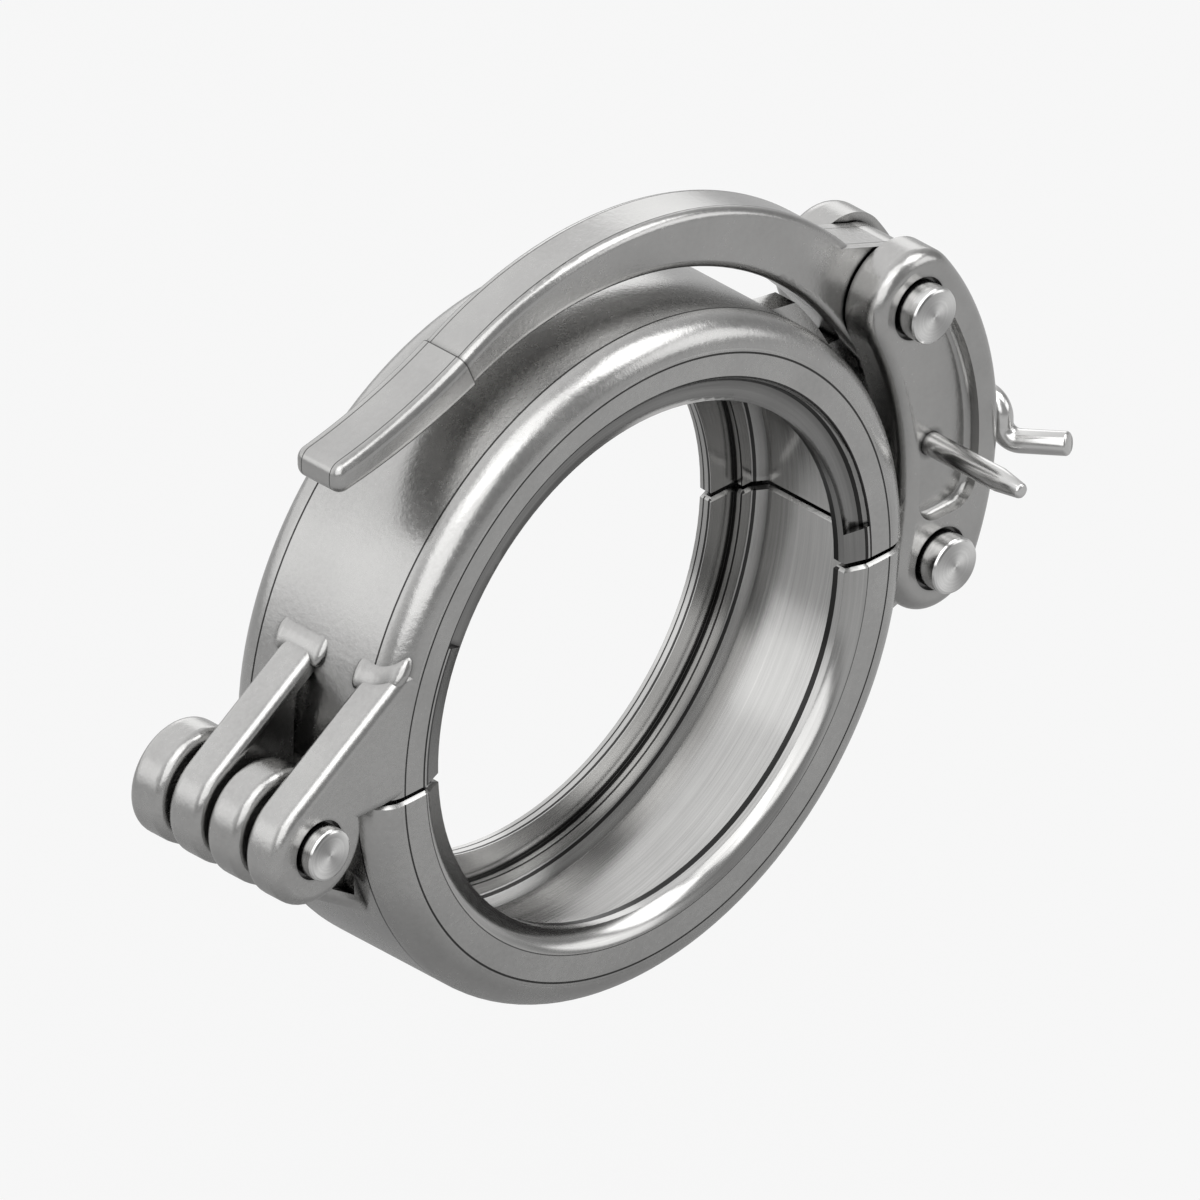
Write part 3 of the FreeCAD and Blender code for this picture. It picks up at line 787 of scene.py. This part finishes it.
@dataclass
class TurnedPins:
    """The straight pins, turned with a chamfered and slightly hollow end. Lengths are in millimetres."""

    riders: tuple = (("hinge_pin", "upper_body"), ("upper_link_pin", "links"), ("lower_link_pin", "links"))
    hidden: str = "lever_pivot_pin"
    sides: int = 128
    chamfer: float = 0.8
    chamfer_steps: int = 2
    chamfer_profile: float = 0.42
    flat: float = 0.01
    rim: float = 0.9
    hollow: float = 0.12
    hollow_edge: float = 0.3
    smooth_deg: float = 24.0

    def build(self, frame: dict) -> None:
        """Model the pins that show, and dress them all.
        """
        for node, body in self.riders:
            piece = self.model(node)
            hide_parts(node)
            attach(piece, body)
            paint(piece, self.finish(node).material())
        paint(frame["nodes"][self.hidden], self.finish(self.hidden).material())

    @staticmethod
    def finish(node: str) -> SteelFinish:
        """Say how a pin is finished.

        Args:
            node: the CAD pin.

        Returns:
            Its finish, laid about its own axis.
        """
        low, high = cad_span(node)
        middle = (low + high) / 2
        return SteelFinish("turned_" + node, Skin.TURNED, colour=(0.7, 0.697, 0.69), roughness=0.24,
                           peel=0.03, centre=(middle.x, middle.z), span=(low.y, high.y))

    def model(self, node: str) -> bpy.types.Object:
        """Turn one pin over the CAD pin's own box.

        Args:
            node: the CAD pin.

        Returns:
            The pin.
        """
        low, high = cad_span(node)
        Bench.clear()
        bpy.ops.mesh.primitive_cylinder_add(
            vertices=self.sides, radius=(high.z - low.z) / 2 * MM, depth=(high.y - low.y) * MM,
            end_fill_type="NGON", location=(low + high) / 2 * MM, rotation=(math.pi / 2, 0.0, 0.0))
        piece = Bench.rename("turned_" + node)
        bpy.ops.object.mode_set(mode="EDIT")
        Bench.pick_edges(piece, lambda start, end: abs(start.y - end.y) < self.flat)
        bpy.ops.mesh.bevel(offset=self.chamfer * MM, segments=self.chamfer_steps,
                           profile=self.chamfer_profile, affect="EDGES")
        Bench.pick_faces(piece, lambda face: len(face.verts) == self.sides)
        bpy.ops.mesh.inset(thickness=self.rim * MM)
        bpy.ops.mesh.inset(thickness=self.hollow_edge * MM, depth=-self.hollow * MM)
        Bench.settle(piece, self.smooth_deg)
        return piece


@dataclass
class SafetyPin:
    """The bent rod that locks the link plates: tapered leg, bends behind them, drop and grip.

    Lengths are in millimetres.
    """

    x: float = 109.5
    z: float = 12.4
    front: float = -39.5
    rear: float = 27.0
    rod_r: float = 3.1
    tip_r: float = 2.0
    taper: float = 8.0
    return_x: float = 135.5
    return_y: float = -13.5
    drop: float = 11.0
    bend_r: float = 4.5
    grip: float = 18.0
    turn_deg: float = 64.0
    rise_deg: float = 8.0
    sides: int = 48
    bend_steps: int = 14
    end_round: float = 0.7
    first_share: float = 0.35
    last_share: float = 0.4
    smooth_deg: float = 40.0

    def route(self) -> list[Vector]:
        """List the corners of the rod's centre line.

        Returns:
            The corners, from the leg's end to the grip's.
        """
        turn = math.radians(self.turn_deg)
        rise = math.radians(self.rise_deg)
        grip = Vector((math.cos(turn) * math.cos(rise), -math.sin(turn) * math.cos(rise), math.sin(rise)))
        elbow = Vector((self.return_x, self.return_y, self.z - self.drop))
        return [Vector((self.x, self.front, self.z)), Vector((self.x, self.rear, self.z)),
                Vector((self.return_x, self.rear, self.z)), Vector((self.return_x, self.return_y, self.z)),
                elbow, elbow + grip * self.grip]

    @staticmethod
    def _run(step: Vector) -> None:
        """Extrude the open end along a straight run."""
        bpy.ops.mesh.extrude_edges_move(TRANSFORM_OT_translate={"value": step * MM})

    @staticmethod
    def _widen(factor: float, centre: Vector) -> None:
        """Scale the open end about a point."""
        bpy.ops.transform.resize(value=(factor, factor, factor), center_override=centre * MM)

    def _stage(self, here: Vector, step: Vector, factor: float, centre: Optional[Vector] = None) -> None:
        """Extrude the open end and scale it where it arrives.

        Args:
            here: where the end is.
            step: the run.
            factor: how much larger it gets.
            centre: the point that it is scaled about, where the run ends if none is given.
        """
        self._run(step)
        self._widen(factor, here + step if centre is None else centre)

    def _tip(self, leg: Vector) -> None:
        """Draw the rounded and tapered tip, up to the leg's full thickness.

        Args:
            leg: where the full thickness starts.
        """
        here = leg - Vector((0.0, self.taper, 0.0))
        near = here + Vector((0.0, self.end_round, 0.0))
        first = self.end_round * self.first_share
        rest = self.end_round - first
        self._stage(here, Vector((0.0, first, 0.0)), (self.tip_r - first) / (self.tip_r - self.end_round))
        self._stage(here, Vector((0.0, rest, 0.0)), self.tip_r / (self.tip_r - first), near)
        self._stage(near, leg - near, self.rod_r / self.tip_r, leg)

    def _bend(self, here: Vector, corner: Vector, after: Vector) -> Vector:
        """Run to a bend and spin the open end round it.

        Args:
            here: where the open end is.
            corner: where the two centre lines meet.
            after: the next corner.

        Returns:
            Where the open end is now.
        """
        into = (corner - here).normalized()
        out = (after - corner).normalized()
        angle = into.angle(out)
        trim = self.bend_r * math.tan(angle / 2)
        start = corner - into * trim
        self._run(start - here)
        centre = start + (out - into * into.dot(out)).normalized() * self.bend_r
        axis = into.cross(out).normalized()
        bpy.ops.mesh.spin(steps=self.bend_steps, angle=-angle, center=centre * MM, axis=axis)
        return corner + out * trim

    def _grip_end(self, here: Vector, end: Vector) -> None:
        """Run to the grip's end and round it.

        Args:
            here: where the open end is.
            end: the grip's end.
        """
        out = (end - here).normalized()
        shoulder = self.rod_r - self.end_round * self.first_share
        self._run(end - here - out * self.end_round)
        self._run(out * self.end_round * (1.0 - self.last_share))
        self._widen(shoulder / self.rod_r, end)
        self._run(out * self.end_round * self.last_share)
        self._widen((self.rod_r - self.end_round) / shoulder, end)

    def model(self) -> bpy.types.Object:
        """Draw the rod from its tip to its grip.

        Returns:
            The rod.
        """
        Bench.clear()
        points = self.route()
        bpy.ops.mesh.primitive_circle_add(
            vertices=self.sides, radius=(self.tip_r - self.end_round) * MM, fill_type="NOTHING",
            location=(points[0] - Vector((0.0, self.taper, 0.0))) * MM, rotation=(math.pi / 2, 0.0, 0.0))
        piece = Bench.rename("bent_safety_pin")
        Bench.place()
        bpy.ops.object.mode_set(mode="EDIT")
        bpy.ops.mesh.select_mode(type="EDGE")
        bpy.ops.mesh.select_all(action="SELECT")
        here = points[0]
        self._tip(here)
        for corner, after in zip(points[1:-1], points[2:]):
            here = self._bend(here, corner, after)
        self._grip_end(here, points[-1])
        bpy.ops.mesh.select_all(action="DESELECT")
        bpy.ops.mesh.select_non_manifold()
        bpy.ops.mesh.edge_face_add()
        Bench.settle(piece, self.smooth_deg)
        return piece

    def build(self) -> None:
        """Model, seat and dress the rod."""
        piece = self.model()
        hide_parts("safety_pin")
        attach(piece, "safety")
        drawn = SteelFinish("drawn_rod", Skin.DRAWN, colour=(0.66, 0.657, 0.65), roughness=0.22, mottle=0.06,
                            peel=0.004, grain=Noise(1800.0, 2.0, 0.65))
        paint(piece, drawn.material())


@dataclass(frozen=True)
class SoftBox:
    """A soft lamp that faces the coupling, in metres and watts."""

    name: str
    place: tuple
    size: tuple
    power: float

    def hang(self) -> None:
        """Hang the lamp in its place."""
        data = bpy.data.lights.new(self.name, "AREA")
        data.shape = "RECTANGLE"
        data.size, data.size_y = self.size
        data.energy = self.power
        lamp = bpy.data.objects.new(self.name, data)
        lamp.location = self.place
        lamp.rotation_euler = (-Vector(self.place)).to_track_quat("-Z", "Y").to_euler()
        bpy.context.scene.collection.objects.link(lamp)


@dataclass
class Studio:
    """Pale floor, soft lamps and the camera. Lengths are in metres, but for the photograph's scale."""

    centre_px: tuple = (647.6, 667.8)
    image_px: float = 1200.0
    px_per_mm: float = 4.07
    azimuth: float = -44.5
    elevation: float = 31.5
    face_y: float = -0.0275
    distance: float = 1.6
    clip_end: float = 20.0
    floor_drop: float = 0.24
    floor_size: float = 14.0
    floor_matt: float = 0.3
    floor_glow: float = 0.968
    seen_glow: float = 0.93
    # Painted shade of the floor in reflections: distances from the coupling and the glows there.
    painted_mirror_shade: tuple = ((0.14, 0.0), (0.42, 0.42))
    bright_side: tuple = (-0.15, 0.8, 0.4)
    sky: tuple = ((0.0, 0.3), (0.35, 0.62), (0.75, 1.0))
    sky_strength: float = 1.25
    boxes: tuple = (
        SoftBox("key_box", (-1.3, -1.2, 1.35), (2.2, 2.2), 24.0),
        SoftBox("top_box", (-0.35, -0.75, 2.0), (1.5, 1.5), 12.0),
        SoftBox("high_box", (1.0, -0.6, 1.4), (1.1, 1.1), 11.0),
        SoftBox("left_box", (-1.7, 1.2, 0.7), (1.2, 0.9), 1.2),
        SoftBox("rear_box", (1.4, 1.3, 0.6), (1.2, 0.9), 3.0),
        SoftBox("right_box", (1.5, -1.2, 0.55), (1.2, 0.8), 4.5))

    def axes(self) -> tuple[Vector, Vector, Vector]:
        """The camera's right, back and up directions.

        Returns:
            Three unit vectors.
        """
        turn = math.radians(self.azimuth)
        rise = math.radians(self.elevation)
        right = Vector((math.cos(turn), math.sin(turn), 0.0))
        back = Vector((math.sin(turn) * math.cos(rise), -math.cos(turn) * math.cos(rise), math.sin(rise)))
        return right, back, back.cross(right)

    def camera(self) -> None:
        """Aim a camera so that the bore's front centre falls on its pixel in the photograph."""
        right, back, up = self.axes()
        half = self.image_px / 2
        pixel = MM / self.px_per_mm
        aim = Vector((0.0, self.face_y, 0.0))
        aim += right * ((half - self.centre_px[0]) * pixel) + up * ((self.centre_px[1] - half) * pixel)
        data = bpy.data.cameras.new("photo_camera")
        data.type = "ORTHO"
        data.ortho_scale = self.image_px * pixel
        data.clip_end = self.clip_end
        camera = bpy.data.objects.new("photo_camera", data)
        camera.location = aim + back * self.distance
        camera.rotation_euler = (-back).to_track_quat("-Z", "Y").to_euler()
        bpy.context.scene.collection.objects.link(camera)
        bpy.context.scene.camera = camera

    def floor(self) -> None:
        """Lay a plain pale floor under the coupling, with painted shade: bare metal mirrors it dimmer close
        to the coupling.
        """
        bpy.ops.mesh.primitive_plane_add(size=self.floor_size, location=(0.0, 0.0, -self.floor_drop))
        floor = bpy.context.object
        floor.name = "studio_floor"
        graph = Graph(bpy.data.materials.new("pale_floor"))
        coords = graph.node("ShaderNodeTexCoord", {}, {}, "Object")
        away = graph.node("ShaderNodeVectorMath", {"operation": "LENGTH"}, [coords], "Value")
        # Painted shade: the glow that metal mirrors fades near the coupling, in place of its shadow.
        (near, near_glow), (far, far_glow) = self.painted_mirror_shade
        painted_mirror_shade = graph.node("ShaderNodeMapRange", {}, {
            "Value": away, "From Min": near, "From Max": far,
            "To Min": near_glow, "To Max": far_glow}, "Result")
        camera = graph.node("ShaderNodeLightPath", {}, {}, "Is Camera Ray")
        glass = camera.other("Is Transmission Ray")
        seen = camera * self.seen_glow + camera.other("Is Glossy Ray") * painted_mirror_shade + glass * self.seen_glow
        matt = graph.node("ShaderNodeBsdfDiffuse", {}, {"Color": (*[self.floor_matt] * 3, 1.0)})
        glow = graph.node("ShaderNodeEmission", {}, {"Color": (*[self.floor_glow] * 3, 1.0), "Strength": 1.0})
        floor.data.materials.append(graph.finish(graph.node("ShaderNodeMixShader", {}, [seen, matt, glow])))

    def world(self) -> None:
        """Set a soft sky that is brighter behind the coupling and overhead."""
        graph = Graph(bpy.data.worlds.new("studio_world"))
        coords = graph.node("ShaderNodeTexCoord", {}, {}, "Generated")
        lean = graph.node("ShaderNodeVectorMath", {"operation": "DOT_PRODUCT"},
                          [coords, self.bright_side], "Value")
        stops = [(place, (tone, tone, tone, 1.0)) for place, tone in self.sky]
        sky = graph.node("ShaderNodeValToRGB", {"stops": stops}, [lean], "Color")
        glow = graph.node("ShaderNodeBackground", {}, {"Color": sky, "Strength": self.sky_strength})
        bpy.context.scene.world = graph.finish(glow)

    def build(self) -> None:
        """Set the whole studio."""
        bpy.context.scene.view_settings.view_transform = "Standard"
        self.camera()
        self.floor()
        self.world()
        for box in self.boxes:
            box.hang()
        LOG.info("the studio has %d soft boxes", len(self.boxes))


def main() -> None:
    """Build and dress everything in order."""
    logging.basicConfig(level=logging.INFO)
    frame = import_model()
    Bench.clear()
    Studio().build()
    Castings().dress(frame)
    ArmRoots().build()
    Toggle().dress(frame)
    TurnedPins().build(frame)
    SafetyPin().build()


if __name__ == "__main__":
    main()
